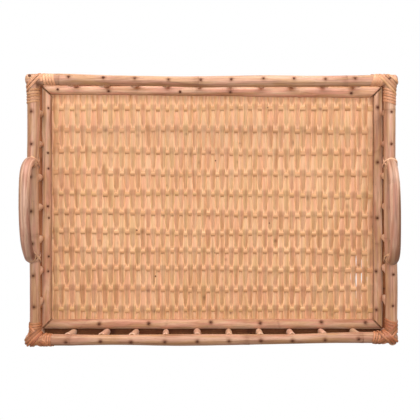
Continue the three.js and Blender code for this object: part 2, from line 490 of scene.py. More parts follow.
def add_pole(
    build, path, radius, seed, facets=32, joints=None, nails=(), rounding=0.9 * MM, uneven=0.012,
    ends=None, up=UP, tone=None, painted_shade=0.0, facing=1.0,
):
    """Sweeps one natural cane along path. ends may move its rings onto the neighbours' skins.

    Its own painted shade, given just after tone, or painted light below 0, is strongest where it
    faces facing, an angle from its left."""
    random = np.random.default_rng(seed)
    along = lengths_along(path)
    length = along[-1]
    if joints is None:
        joints = cane_joints(length, random)
    angle = turn_in(facets)
    size = radius * (1 + uneven * ripple(along / length, random, 5, length / 0.12))
    mark = np.zeros((len(path), facets))
    for place in joints:
        lean = 0.6 * MM * np.sin(angle + random.uniform(0, 6))
        gap = along[:, None] - place - lean
        size = size * (1 + 0.02 * bell(along - place, JOINT_SWELL))
        uneven_ring = 0.55 + 0.45 * ripple(angle / (2 * math.pi), random, 5, 1.0)
        line = np.clip(uneven_ring, 0.1, 1) * JOINT_LINE_MARK * bell(gap, JOINT_LINE)
        shade = JOINT_SHADE_MARK * bell(gap + 2.5 * MM, JOINT_SHADE)
        mark = np.maximum(np.maximum(mark, line), shade)
    if rounding:
        size = size * end_rounding(along, length, rounding)
    side, upward = frames(path, up)
    oval = 1 + 0.014 * np.cos(2 * (angle + random.uniform(0, 3)))
    spread = size[:, None] * oval[None, :]
    across, above = spread * np.cos(angle), spread * np.sin(angle)
    rings = path[:, None] + across[..., None] * side[:, None] + above[..., None] * upward[:, None]
    if ends:
        rings = ends(rings)
    for nail in nails:
        mark = np.maximum(mark, NAIL_STAIN_MARK * bell(distance(rings, nail), NAIL_STAIN))
    # Painted shade in the hollow between the back and left rails.
    mark = np.maximum(mark, SHADED_HOLLOW_MARK * bell(distance(rings, SHADED_HOLLOW), SHADED_HOLLOW_SIZE))
    # The pole's painted shade, or painted light below 0, strongest on the side it faces.
    turned = np.clip(0.55 + 0.6 * np.cos(angle - facing), 0, 1)
    mark = mark + np.broadcast_to(painted_shade, len(path))[:, None] * turned
    shift = random.uniform(0, 40)
    grain = grain_at(along + shift, across, above)
    build.sweep(rings, grain, random.uniform(-1, 1) if tone is None else tone, mark)


def straight(start, end, step=1.2 * MM, rounding=0.9 * MM):
    """A path from start to end, and each point's share of the way."""
    start, end = np.array(start, float), np.array(end, float)
    length = np.linalg.norm(end - start)
    share = samples(length, step, rounding) / length
    return start + share[:, None] * (end - start), share


def skin_level(across, centre, radius, level, sign):
    """The level at which points meet the upper (1) or lower (-1) skin of a level pole."""
    return level + sign * np.sqrt(np.maximum(radius**2 - (across - centre) ** 2, 0))


def spindle_nodes(side):
    return sorted(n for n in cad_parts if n.startswith(f"{side}_spindle_"))


# How far along the tray each front spindle's foot and head stand off its node's middle.
FRONT_FEET = np.array([-0.5, 3.0, 0.5, -2.4, -2.2, -1.0, -1.2, -1.4, -1.5, 0.3]) * MM
FRONT_HEADS = np.array([0.4, 2.7, 0.0, 1.6, 1.4, 0.3, -0.5, -1.8, -2.0, -0.8]) * MM
# Where the back rail is nailed, in mm along it. The other rails' nails stand over the spindles.
BACK_NAILS = [-173, -131, -93, -52, -13, 24, 63, 100, 138, 174]
NAIL_OUTWARD = {"back": 2.3, "front": 0.6, "left": 0.2, "right": 0.2}  # from the rail's middle, mm


def rail_nails(side):
    """Where the nails go down through a rail into its spindles: points on the rail's skin."""
    random = np.random.default_rng(len(side) * 7)
    if side == "back":
        stands = np.array(BACK_NAILS) * MM
    else:
        stands = np.array([middle(node)[axes(side)[0]] for node in spindle_nodes(side)])
        shifts = random.uniform(-1.5, 1.5, len(stands)) * MM
        stands = stands + (FRONT_HEADS if side == "front" else shifts)
    outward = (NAIL_OUTWARD[side] + random.uniform(-0.6, 0.6, len(stands))) * MM
    height = np.sqrt(rail_shape(side, stands)[1] ** 2 - outward**2)
    return rail_point(side, stands) + outward[:, None] * OUTWARD[side] + height[:, None] * UP


def add_nails(name, places, normal, seed, radius=NAIL_RADIUS):
    """Low domed nail heads, each set into the cane at its place, nearly square to normal."""
    random = np.random.default_rng(seed)
    build = Build()
    angle = turn_in(14)
    for place in places:
        up = unit(normal + random.uniform(-0.12, 0.12, 3))
        side = unit(np.cross(up, [1.0, 0.3, 0]))
        size = radius * random.uniform(0.8, 1.15)
        circle = np.cos(angle)[:, None] * side + np.sin(angle)[:, None] * np.cross(up, side)
        rings = np.stack([place + circle * size * r + up * size * h for r, h in NAIL_PROFILE])
        build.sweep(rings, rings + random.uniform(0, 5), 0.0)
    build.piece(name, [NAIL_IRON])


RAIL_TONES = {"back": -0.1, "front": -0.2, "left": 0.0, "right": -0.1}
# How much shade is painted on each rail, or below 0 light, and the side it is strongest on, as an
# angle from its left.
RAIL_PAINTED_SHADE = {"back": (0.0, 1.0), "front": (0.24, 2.5), "left": (0.1, 1.0), "right": (-0.12, 1.0)}


def make_rails():
    """Two long rails run through; the short ones are shaped to them and fitted between."""
    for index, side in enumerate(SIDES):
        axis = axes(side)[0]
        reach = box(f"{side}_rail")[1][axis]
        rounding = (0.9 if axis else 3.5) * MM
        place = samples(2 * reach, 1.0 * MM, rounding) - reach
        nails = rail_nails(side)

        def saddled(rings):
            """Keeps a short rail's ends out of the long rails."""
            for sign, neighbour in ((1, "back"), (-1, "front")):
                shift, radius = rail_shape(neighbour, rings[..., 0])
                clear = np.sqrt(np.maximum(radius**2 - (rings[..., 2] - RAIL_LEVEL) ** 2, 0))
                limit = RAIL_Y + shift - clear
                past = sign * rings[..., 1] > limit
                rings[..., 1] = np.where(past, sign * limit, rings[..., 1])
            return rings

        build = Build()
        add_pole(
            build, rail_point(side, place), rail_shape(side, place)[1], 11 + index, 36,
            nails=nails, rounding=rounding, ends=saddled if axis else None,
            tone=RAIL_TONES[side], painted_shade=RAIL_PAINTED_SHADE[side][0], facing=RAIL_PAINTED_SHADE[side][1],
        )
        build.piece(f"{side}_rail_cane", [RAIL_SKIN, CUT_CANE], [f"{side}_rail"])
        add_nails(f"{side}_rail_nails", nails, OUTWARD[side] * 0.26 + UP, 31 + index)


# How much shade is painted on each base pole, on top and inside where it lies under the rail, and
# where that is, as an angle from its left.
BASE_PAINTED_SHADE = {"back": (0.5, 2.4), "front": (0.95, 0.7), "left": (0.4, 2.4), "right": (0.75, 0.7)}


def make_base():
    """The base poles, and the braces between the two long ones."""
    poles = [
        (f"{side}_base_pole", f"{side}_base_cane", BASE_RADIUS, 0.0, BASE_PAINTED_SHADE[side])
        for side in SIDES
    ]
    # The braces get a little painted shade as well.
    for place in ("left", "middle", "right"):
        node = f"{place}_cross_brace"
        low, high = box(node)
        poles.append((node, f"{place}_brace_cane", (high[0] - low[0]) / 2, 1 * MM, (0.1, 1.0)))
    for index, (node, name, radius, short, painted_shade) in enumerate(poles):
        (low, high), centre = box(node), middle(node)
        axis = 0 if node.startswith(("back", "front")) else 1
        start, end = centre.copy(), centre.copy()
        start[axis], end[axis] = low[axis] + short, high[axis] - short
        build = Build()
        path = straight(start, end, 1.5 * MM)[0]
        add_pole(build, path, radius, 51 + index, 28, painted_shade=painted_shade[0], facing=painted_shade[1])
        build.piece(name, [SHADED_BASE_SKIN, CUT_CANE], [node])


# ---- spindles and posts ----
SPINDLE_LEAN = 6 * MM  # how far a spindle's head lies nearer to the mat than its foot
FOOT_RADIUS = 2.6 * MM  # the foot is whittled thinner
FOOT_TAPER = 14 * MM
END_SUNK = 0.2 * MM  # how far a cane's end goes into the pole that it meets


def add_upright(build, side, foot, lean, radius, foot_radius, seed):
    """A short pole from a base pole up to a top rail, with its ends shaped to them.

    foot is where it stands on the base pole's centre line; lean is how far its head shifts."""
    axis, across = axes(side)
    sign = OUTWARD[side].sum()
    shift, rail_radius = rail_shape(side, foot[axis])
    random = np.random.default_rng(seed)
    head = foot + lean
    head[2] = RAIL_LEVEL
    path, share = straight(foot, head, 1.2 * MM, 0.7 * MM)
    bow = np.outer(np.sin(math.pi * share), random.uniform(-0.5, 0.5, 2).tolist() + [0]) * MM
    taper = np.clip((path[:, 2] - BASE_LEVEL - BASE_RADIUS) / FOOT_TAPER, 0, 1)
    size = lerp(foot_radius, radius, np.sin(taper * math.pi / 2))
    base = (sign * BASE_OUT[side], BASE_RADIUS - END_SUNK, BASE_LEVEL, 1)
    rail = (sign * (RAIL_OUT[side] + shift), rail_radius - END_SUNK, RAIL_LEVEL, -1)

    def fitted(rings):
        low = skin_level(rings[0][:, across], *base)
        high = skin_level(rings[-1][:, across], *rail)
        rings[:, :, 2] = np.clip(rings[:, :, 2], low, high)
        return rings

    add_pole(
        build, path + bow, size, seed, 22, joints=[], rounding=0.7 * MM, uneven=0.03,
        ends=fitted, up=Y,
    )


def make_spindles():
    for side_index, side in enumerate(SIDES):
        axis, across = axes(side)
        for index, node in enumerate(spindle_nodes(side)):
            seed = 100 + 20 * side_index + index
            random = np.random.default_rng(seed)
            low, high = box(node)
            shift, lean_along = random.uniform(-0.8, 0.8) * MM, random.uniform(-1, 1) * 0.9 * MM
            if side == "front":
                shift, lean_along = FRONT_FEET[index], FRONT_HEADS[index] - FRONT_FEET[index]
            foot = np.zeros(3)
            foot[axis] = middle(node)[axis] + shift
            outermost = np.abs([low[across], high[across]]).max()
            foot += OUTWARD[side] * (outermost - FOOT_RADIUS) + UP * BASE_LEVEL
            lean = -OUTWARD[side] * (SPINDLE_LEAN - rail_shape(side, foot[axis])[0] * 0.5)
            lean[axis] = lean_along
            radius = (high[axis] - low[axis]) / 2 * random.uniform(0.92, 1.06)
            build = Build()
            add_upright(build, side, foot, lean, radius, FOOT_RADIUS, seed)
            build.piece(f"{node}_cane", [SPINDLE_SKIN, CUT_CANE], [node])


def make_posts():
    """The posts under the lashed corners, shaped to the long base pole and the long rail."""
    for index, corner in enumerate(CORNERS):
        node = f"{corner}_post"
        low, high = box(node)
        foot = middle(node)
        foot[2] = BASE_LEVEL
        build = Build()
        radius = (high[0] - low[0]) / 2
        add_upright(build, corner.split("_")[0], foot, np.zeros(3), radius, radius, 200 + index)
        build.piece(f"{node}_cane", [SPINDLE_SKIN, CUT_CANE], [node])


# ---- edge beads ----
# Where each bead is nailed and where its cane has a joint, in mm along it from its middle.
BEAD_NAILS = {
    "back": [-197, -132, -41, 23, 177], "front": [-144, -81, -2, 61, 139, 195],
    "left": [127, 70, 50, 2, -13, -62, -81], "right": [128, 58, -13, -81, -130],
}
BEAD_JOINTS = {
    "back": [-150, -20, 120], "front": [-170, -60, 88], "left": [96, -40, -112],
    "right": [118, 77, -48],
}
# How each bead's cane widens: (place along it, width), in mm.
BEAD_WIDTHS = {
    "back": [(-220, 11.8), (-130, 11.8), (0, 12.6), (65, 13.6), (220, 13.8)],
    "front": [(-220, 12.2), (0, 12.2), (220, 12.4)],
    "left": [(-160, 12.2), (0, 12.0), (160, 12.3)],
    "right": [(-160, 12.3), (0, 12.1), (160, 12.2)],
}
BEAD_TONES = {"back": 0.2, "front": 0.0, "left": -0.1, "right": -0.3}
# Shade painted over each whole bead, or below 0 light.
BEAD_PAINTED_SHADE = {"back": -0.1, "front": 0.32, "left": -0.25, "right": 0.15}
# How much highlight is painted on each bead's outer edge, and how much shade in the crease at its
# inner edge, where it meets the mat.
BEAD_EDGE_LIGHT_AND_SHADE = {"back": (0.3, 0.2), "front": (0.1, 0.2), "left": (1.0, 0.5), "right": (0.7, 0.7)}
NAIL_INWARD = {"back": 1.3, "front": 3.0, "left": 3.8, "right": 2.5}  # mm
BACK_BEAD_TURN = 1.0 * MM  # the back bead's left end lies this far outward, its right end inward
MITRE_GAP = 0.45 * MM
MITRE_STAIN, MITRE_MARK = 0.9 * MM, 0.9
BEAD_BEDDING = 0.7 * MM  # how far the bead's outer edge is pressed into the base pole
# A bead fills this much of its width and height, so that its swellings stay inside them.
BEAD_FILL = np.array([0.985, 0.96])


def make_beads():
    """Split canes with the flat side down, mitred where they meet."""
    arc = np.linspace(0, math.pi, 17)
    for index, side in enumerate(SIDES):
        random = np.random.default_rng(71 + index)
        axis, across = axes(side)
        low, high = box(f"{side}_bead")
        half = (high[axis] - low[axis]) / 2
        edge = np.abs([low[across], high[across]]).max()
        out, along = OUTWARD[side], (X, Y)[axis]
        share = np.linspace(-1, 1, int(2 * half / (1.2 * MM)))
        place = share * half
        width = eased(*np.array(BEAD_WIDTHS[side]).T * MM, place)
        bulge = 1 + 0.025 * ripple(share / 2 + 0.5, random, 5, 3.0)
        mark = np.zeros((len(share), len(arc)))
        for joint in BEAD_JOINTS[side]:
            near = place - joint * MM
            bulge = bulge + 0.05 * bell(near, JOINT_SWELL)
            skew = 0.9 * MM * np.cos(arc + random.uniform(0, 3))
            line = bell(near[:, None] - skew, 1.6 * MM)
            mark = np.maximum(mark, 0.22 * line * random.uniform(0.4, 1, len(arc)))
        sway = 0.35 * MM * ripple(share / 2 + 0.5, random, 3, 1.5) * (1 - share**8)
        if side == "back":
            sway = sway - BACK_BEAD_TURN * share
        centre = edge - width / 2 + sway
        offset = np.cos(arc)[None] * (width / 2 * bulge)[:, None] * BEAD_FILL[0]
        level = np.sin(arc)[None] ** 0.9 * BEAD_HEIGHT * bulge[:, None] * BEAD_FILL[1]
        underside = np.stack([offset[:, -1] * 0.6, offset[:, 0] * 0.6, offset[:, 0]], -1)
        offset = centre[:, None] + np.concatenate([offset, underside], 1)
        # The underside's outer part comes down over the mat's edge and rests on the base pole.
        resting = skin_level(offset[:, -2:], BASE_OUT[side], BASE_RADIUS, BASE_LEVEL, 1)
        resting = resting - BEAD_BEDDING - BEAD_LOW[2]
        level = np.concatenate([level, np.zeros_like(resting[:, :1]), resting], 1)
        mark = np.concatenate([mark, np.zeros_like(underside)], 1)
        reach = half - MITRE_GAP - np.maximum(edge - offset, 0)
        rings = (
            (share[:, None] * reach)[..., None] * along
            + offset[..., None] * out
            + (BEAD_LOW[2] + level)[..., None] * UP
        )
        nails = []
        for nail in np.array(BEAD_NAILS[side]) * MM:
            shift = random.uniform(-0.5, 2.0) * MM - NAIL_INWARD[side] * MM
            off = 2 * shift / BEAD_WIDTH
            top = BEAD_LOW[2] + BEAD_HEIGHT * BEAD_FILL[1] * math.sqrt(1 - off**2)
            near = np.interp(nail, place, centre) + shift
            nails.append(along * nail + out * near + UP * top)
            mark = np.maximum(mark, 0.8 * bell(distance(rings, nails[-1]), NAIL_STAIN))
        outer = np.clip((offset - centre[:, None]) / (width[:, None] / 2), -1, 1)
        # Painted shade over the bead, a painted highlight on its outer edge and painted shade in the
        # crease at its inner edge.
        pale, crease_shade = BEAD_EDGE_LIGHT_AND_SHADE[side]
        mark = mark + BEAD_PAINTED_SHADE[side] - pale * bell(outer - 0.8, 0.5)
        mark = np.maximum(mark, crease_shade * bell(outer + 1, 0.2))
        from_mitre = (1 - np.abs(share))[:, None] * half
        mark = np.maximum(mark, MITRE_MARK * bell(from_mitre, MITRE_STAIN))
        grain = grain_at(place + 3 * index, offset, level)
        turn = -1 if np.dot(np.cross(out, UP), along) < 0 else 1
        build = Build()
        build.sweep(rings[:, ::turn], grain[:, ::turn], BEAD_TONES[side], mark[:, ::turn])
        build.piece(
            f"{side}_bead_cane", [BEAD_SKIN, CUT_CANE], [f"{side}_bead"], sharp=70
        )
        add_nails(f"{side}_bead_nails", nails, UP, 81 + index)


# ---- woven mat ----
# The warps lie closer together between the outer cross braces: (number, place), in mm.
WARP_PLACES = [
    (-19, -214.0), (-14, -179.9), (0, -82.3), (2, -69.6), (10, -22.9), (20, 36.3), (24, 60.8),
    (30, 101.9), (44, 202.4), (45, 209.6),
]
WARP_OVERLAP = 0.7 * MM
WARP_SWING = 0.9 * MM  # how much wider a warp lies where it is on top or below
WARP_THICKNESS = 0.95 * MM
WARP_RISE = 1.0 * MM  # of its middle above and below the mat's middle
WARP_SLOT = 0.3 * MM  # how much narrower the warps beside a brace are
WARP_WANDER = 0.14 * MM  # how far a warp and its width wander
# Where the warps have worn narrower, in mm: (by how much, x, y, how far it reaches in x and in y).
WORN_SPOTS = [(2.1, 187, -88, 12, 34), (0.8, 120, 110, 80, 50)]
MAT_FRONT_DARKENING = 0.22  # how much darker the mat is made towards the front than at the back
WEFT_COUNT = 11
WEFT_FIRST, WEFT_PITCH, WEFT_SHIFT = 126.8, 25.8, 7.1  # mm
WEFT_WIDTH = 6.0 * MM
WEFT_THICKNESS = 1.8 * MM
CREST_EARLY = 0.08  # a warp is highest this share of a weft's pitch behind each weft
MAT_LEVEL = (MAT_LOW[2] + MAT_HIGH[2]) / 2 + 0.4 * MM
MAT_NAIL_RADIUS = 0.9 * MM
MAT_NAILS = [(71, 128), (73, -20), (-74, 18), (-73, -88), (4, 60), (3, -58), (-97, -29)]  # mm


def weft_place(number, x):
    """Where weft number, counted from the back, crosses x. Numbers past the ends are allowed.

    The middle ones lie further forward than evenly spaced ones would, and slope the most."""
    forward = WEFT_SHIFT * math.sin(math.pi * min(max(number, 0) / 8, 1))
    y = WEFT_FIRST - WEFT_PITCH * number - forward
    slope = (1.0 + 3.4 * math.sin(math.pi * min(max(number, 0), 9) / 9)) / 400
    wander = 0.8 * np.sin(x / 0.061 + 1.9 * number) + 0.5 * np.sin(x / 0.023 + 4.1 * number)
    return (y + wander) * MM - slope * x


def woven_wave(phase):
    """1 where a warp is on top, -1 where it is below."""
    return (np.cos(math.pi * phase) + np.cos(3 * math.pi * phase) / 14) / (1 + 1 / 14)


def freedom(x, y):
    """How freely the weave rises: less where it goes under the beads."""
    inside = np.minimum(MAT_HIGH[0] - np.abs(x), MAT_HIGH[1] - np.abs(y)) - BEAD_WIDTH
    return np.clip(0.35 + inside / (14 * MM), 0.35, 1)


def worn_gap(x, y):
    """How much narrower the warps have worn."""
    return sum(
        much * MM * bell(x - at_x * MM, wide * MM) * bell(y - at_y * MM, deep * MM)
        for much, at_x, at_y, wide, deep in WORN_SPOTS
    )


def make_warps(places):
    """Flat strips that run across the tray, under one weft and over the next."""
    y = np.linspace(MAT_LOW[1], MAT_HIGH[1], 280)
    share = (y - MAT_LOW[1]) / (MAT_HIGH[1] - MAT_LOW[1])
    # The section of a strip, from 1 to -1 across it: first the underside, then a crowned top.
    across = np.array([-0.5, 0.5, 1, 0.92, 0.74, 0.52, 0.26, 0, -0.26, -0.52, -0.74, -0.92, -1])
    top = np.array([-0.12, -0.12, 0, 0.45, 0.76, 0.92, 0.98, 1, 0.98, 0.92, 0.76, 0.45, 0])
    braces = [middle(f"{place}_cross_brace")[0] for place in ("left", "middle", "right")]
    build = Build()
    numbers = np.arange(-2, WEFT_COUNT + 2)
    for i, (x, pitch) in enumerate(zip(places, np.gradient(places))):
        random = np.random.default_rng(300 + i)
        crossings = np.array([weft_place(j, x) for j in numbers])
        wave = woven_wave(np.interp(-y, -crossings, numbers) + i + CREST_EARLY)
        free = freedom(x, y)
        pale_and_highlight = worn_gap(x, y) + WARP_SLOT * max(bell(x - at, 0.6 * pitch) for at in braces)
        slack = WARP_WANDER * ripple(share, random, 5, 2.0) + random.uniform(-0.1, 0.1) * MM
        half = (pitch + WARP_OVERLAP + WARP_SWING * np.abs(wave) * free + slack - pale_and_highlight) / 2
        sway = WARP_WANDER * ripple(share, random, 4, 1.5)
        roll = 0.05 * ripple(share, random, 3, 2.5) + random.uniform(-0.03, 0.03)
        level = MAT_LEVEL + WARP_RISE * wave * free
        crown = WARP_THICKNESS * (1 + 0.3 * random.uniform(-1, 1))
        side = across * half[:, None]
        height = level[:, None] + (top - 0.45) * crown + roll[:, None] * side
        rings = np.stack(np.broadcast_arrays(x + sway[:, None] + side, y[:, None], height), -1)
        # Painted shade where a warp falls towards the front and on its crests, and painted highlights
        # along its rims and round the tip of each falling part.
        fall = np.gradient(wave) / np.abs(np.gradient(wave)).max()
        crest = np.clip((wave - 0.75) / 0.2, 0, 1)
        lit_tip = np.clip((-wave - 0.5) / 0.4, 0, 1) * np.clip(fall * 4, 0, 1)
        rim_highlight = (0.8 + 0.25 * ripple(share, random, 4, 4.0)) * (1 - 0.9 * crest) * free
        from_edge = np.clip(3.4 * np.abs(across) - 2.1 + 2.0 * lit_tip[:, None], 0, 1)
        shade = (0.03 + 0.12 * np.maximum(fall, 0) + 0.26 * crest) * free
        mark = np.clip(1 - across**4, 0, 1) * shade[:, None] - from_edge * rim_highlight[:, None]
        # The mat is made darker towards the front.
        mark = mark + MAT_FRONT_DARKENING * (1 - share[:, None])
        for _ in range(random.integers(0, 3)):
            at = random.uniform(MAT_LOW[1], MAT_HIGH[1])
            spot = bell(y - at, random.uniform(0.8, 3.5) * MM)[:, None]
            mark = mark + random.uniform(0.15, 0.5) * spot * bell(across - random.uniform(-1, 1), 0.6)
        grain = grain_at(y + 2 * i, side, i)
        build.sweep(rings, grain, random.uniform(-0.4, 0.5), mark)
    build.piece("woven_warps", [WARP_SKIN, CUT_CANE], ["woven_mat"], sharp=60)


def make_wefts(places):
    """Eleven flat canes that run along the tray between the warps."""
    build = Build()
    x = np.linspace(MAT_LOW[0], MAT_HIGH[0], 760)
    arc = turn_in(14)
    for j in range(WEFT_COUNT):
        random = np.random.default_rng(400 + j)
        free = freedom(x, 0)
        path = np.stack([x, weft_place(j, x), np.zeros_like(x)], -1)
        over = np.cos(math.pi * (np.interp(x, places, np.arange(len(places))) + j))
        path[:, 2] = MAT_LEVEL - 0.15 * MM * over * free
        side, _ = frames(path)
        width = WEFT_WIDTH / 2 * (1 + 0.06 * ripple(x / 0.43 + 0.5, random, 5, 6.0))
        outward = np.cos(arc)[None] * width[:, None]
        above = np.sin(arc)[None] * (WEFT_THICKNESS / 2 * free)[:, None]
        rings = path[:, None] + outward[..., None] * side[:, None] + above[..., None] * UP
        grain = grain_at(x + 1.7 * j, outward, above)
        # Painted shade over each weft, deepest on its front half, and a little painted light on its
        # back edge.
        toward_front = 2 * (path[:, 1, None] - rings[..., 1]) / WEFT_WIDTH
        mark = np.clip(0.13 + 0.22 * toward_front, -0.1, 0.24) * free[:, None]
        build.sweep(rings, grain, random.uniform(-1, 1), mark)
    build.piece("woven_wefts", [WEFT_SKIN, CUT_CANE], ["woven_mat"])


def make_mat():
    numbers, known = np.array(WARP_PLACES).T
    places = eased(numbers, known, np.arange(numbers[0], numbers[-1] + 1)) * MM
    make_warps(places)
    make_wefts(places)
    tops = [np.array([x * MM, y * MM, MAT_LEVEL + 0.9 * MM]) for x, y in MAT_NAILS]
    add_nails("mat_nails", tops, UP, 91, MAT_NAIL_RADIUS)


# ---- handles ----
HANDLE_RADIUS = 6.25 * MM
HANDLE_FOOT = 58 * MM  # from the tray's middle to the centre line of a leg
HANDLE_RISE = 38 * MM  # of the handle's centre line above the rail's
# The shoulders of a bent handle in mm: its centre line across the tray, counted from a leg
# towards the middle, and above the rail's. A steep one stands up before it bends.
STEEP = [(0, 0), (-0.4, 12), (1, 21), (6, 30), (15, 35.5), (30, 38)]
SLACK = [(0, 0), (1, 8), (6, 17), (15, 25.5), (25, 31), (40, 35.5), (58, 38)]
# Where shade is painted on the handles, or below 0 a highlight: (how much, place across the tray,
# reach) in mm.
HANDLE_SHADE_AND_HIGHLIGHT = [(0.3, -30, 16), (0.2, 5, 14), (-0.84, 48, 22)]
HANDLES = {
    "left": {"back": STEEP, "front": SLACK, "lean": 1 * MM},
    "right": {"back": SLACK, "front": STEEP, "lean": 3 * MM},
}


def spline(points, step):
    """A smooth curve through points, sampled about every step."""
    points = np.array(points, float)
    padded = np.concatenate([[2 * points[0] - points[1]], points, [2 * points[-1] - points[-2]]])
    knots = np.concatenate([[0], np.cumsum(distance(padded[1:], padded[:-1]) ** 0.5)])
    made = []
    for k in range(1, len(padded) - 2):
        p0, p1, p2, p3 = padded[k - 1 : k + 3]
        t0, t1, t2, t3 = knots[k - 1 : k + 3]
        count = max(2, int(distance(p2, p1) / step))
        for t in np.linspace(t1, t2, count, endpoint=False):
            a = lerp(p0, p1, (t - t0) / (t1 - t0))
            b = lerp(p1, p2, (t - t1) / (t2 - t1))
            c = lerp(p2, p3, (t - t2) / (t3 - t2))
            near = lerp(a, b, (t - t0) / (t2 - t0))
            far = lerp(b, c, (t - t1) / (t3 - t1))
            made.append(lerp(near, far, (t - t1) / (t2 - t1)))
    return np.array(made + [points[-1]])


def shoulder_points(side, leg):
    """The points that a handle bends through, from the foot of one leg up."""
    sign = OUTWARD[side].sum()
    turn = 1 if leg == "back" else -1
    lean = HANDLES[side]["lean"]
    made = []
    for inward, rise in HANDLES[side][leg]:
        inward, rise = inward * MM, rise * MM
        x = sign * (RAIL_X - lean * rise / HANDLE_RISE)
        made.append([x, turn * (HANDLE_FOOT - inward), RAIL_LEVEL + rise])
    return made


def make_handles():
    """Bent poles that saddle the side rails."""
    for index, side in enumerate(("left", "right")):
        path = spline(shoulder_points(side, "back") + shoulder_points(side, "front")[::-1], 1.2 * MM)
        sign = OUTWARD[side].sum()

        def seated(rings):
            """Moves what lies inside the rail up onto its skin."""
            shift, radius = rail_shape(side, rings[..., 1])
            centre = sign * (RAIL_X + shift)
            skin = skin_level(rings[..., 0], centre, radius - 0.3 * MM, RAIL_LEVEL, 1)
            rings[..., 2] = np.maximum(rings[..., 2], skin)
            return rings

        # Painted shade on the handles, most towards the front, and a painted highlight on the back
        # shoulder.
        shade_and_highlight = sum(much * bell(path[:, 1] / MM - at, reach) for much, at, reach in HANDLE_SHADE_AND_HIGHLIGHT)
        build = Build()
        add_pole(
            build, path, HANDLE_RADIUS, 501 + index, 32, rounding=0, ends=seated,
            up=X + 0.2 * UP, tone=0.2, painted_shade=0.4 + shade_and_highlight,
        )
        build.piece(f"{side}_handle_cane", [HANDLE_SKIN, CUT_CANE], [f"{side}_handle"])


# ---- lashings ----
STRAND_THICKNESS = 0.7 * MM
# The section of a strand: how far each point lies across it, of its width, and above its poles,
# of its thickness.
STRAND_ACROSS = np.array([-0.25, 0.25, 0.5, 0.46, 0.25, 0, -0.25, -0.46, -0.5])
STRAND_ABOVE = np.array([-0.3, -0.3, 0, 0.6, 0.95, 1, 0.95, 0.6, 0])
CREASE = 1.3 * MM  # how far strands bridge the crease where two poles meet
END_ROUND = 4 * MM  # the rails' ends are rounded over under the strands
LOOP_REACH = 34 * MM  # how far out from its middle a loop may go
WINDING_LIFT = 0.02 * MM  # keeps the lowest strands off the poles
CORNER_REACH = 60 * MM  # how much of each rail the corner strands are laid on
CORNER_NAIL_RADIUS = 2.0 * MM
LEG_WINDING = (9.4 * MM, 14.6 * MM)  # from where to where above the rail's middle
LEG_PITCH = 2.75 * MM
LEG_STRAND_WIDTH = 3.1 * MM


def distance_to_poles(points, poles):
    """Distance from points to poles, each (start, end, radius), eased where poles meet."""
    nearness = 0
    for start, end, radius in poles:
        length = distance(end, start)
        axis = (end - start) / length
        along = (points - start) @ axis
        away = distance(points - start, along[..., None] * axis) - radius
        away, beyond = away + END_ROUND, np.abs(along - length / 2) - length / 2 + END_ROUND
        outside = np.hypot(np.maximum(away, 0), np.maximum(beyond, 0))
        gap = outside + np.minimum(np.maximum(away, beyond), 0) - END_ROUND
        nearness = nearness + np.exp(-gap / CREASE)
    return -CREASE * np.log(nearness)


def way_out(points, poles):
    """The way straight out of the poles at each point."""
    steps = 0.1 * MM * np.eye(3)
    slopes = [
        distance_to_poles(points + step, poles) - distance_to_poles(points - step, poles)
        for step in steps
    ]
    return unit(np.stack(slopes, -1))


def hugged(points, poles, lift):
    """Points moved straight in or out until they lie at lift from the poles."""
    for _ in range(3):
        gap = lift - distance_to_poles(points, poles)
        points = points + gap[..., None] * way_out(points, poles)
    return points


def convex_hull(points):
    """The corners of the convex hull of flat points, turning left."""
    ordered = sorted(map(tuple, points))

    def half(sequence):
        kept = []
        for p in sequence:
            while len(kept) > 1:
                (ax, ay), (bx, by) = kept[-2], kept[-1]
                if (bx - ax) * (p[1] - ay) - (by - ay) * (p[0] - ax) > 0:
                    break
                kept.pop()
            kept.append(p)
        return kept[:-1]

    return np.array(half(ordered) + half(ordered[::-1]))


def taut_loop(poles, centre, across, above):
    """A closed path round the poles in the plane through centre along across and above."""
    angle = turn_in(180)
    rays = np.cos(angle)[:, None] * across + np.sin(angle)[:, None] * above
    out = np.linspace(0, LOOP_REACH, 260)
    inside = distance_to_poles(centre + rays[:, None] * out[None, :, None], poles) < 0.2 * MM
    outermost = np.where(inside, out[None], 0).max(1)
    hull = convex_hull(np.stack([np.cos(angle), np.sin(angle)], -1) * outermost[:, None])
    closed = np.concatenate([hull, hull[:1]])
    along = lengths_along(closed)
    even = np.linspace(0, along[-1], 90, endpoint=False)
    loop = np.stack([np.interp(even, along, closed[:, k]) for k in (0, 1)], -1)
    return centre + loop[:, :1] * across + loop[:, 1:] * above


def add_strand(build, path, poles, lift, random, width, loop=False):
    """A flat strand of peel laid tight on the poles along path, with lift below it."""
    path = hugged(path, poles, lift)
    if loop:
        for _ in range(3):
            path = (np.roll(path, 1, 0) + 2 * path + np.roll(path, -1, 0)) / 4
        tangent = unit(np.roll(path, -1, 0) - np.roll(path, 1, 0))
    else:
        tangent = unit(np.gradient(path, axis=0))
    raw = way_out(path, poles)
    outward = unit(raw - np.sum(raw * tangent, -1, keepdims=True) * tangent)
    side = np.cross(outward, tangent)
    wide = width * random.uniform(0.88, 1.08)
    thick = STRAND_THICKNESS * random.uniform(0.85, 1.1)
    flat = STRAND_ACROSS * wide
    rings = path[:, None] + flat[None, :, None] * side[:, None]
    rings = hugged(rings, poles, lift + STRAND_ABOVE * thick)
    grain = grain_at(lengths_along(path) + random.uniform(0, 30), flat, 0)
    # Painted shade along each strand's edges, where it meets its neighbours, with a random tint over
    # the whole strand.
    edge = np.where(np.abs(STRAND_ACROSS) > 0.48, 0.9, 0.0)[None] + random.uniform(-0.5, 0.32)
    build.sweep(rings, grain, random.uniform(-1, 1), edge, loop=loop)


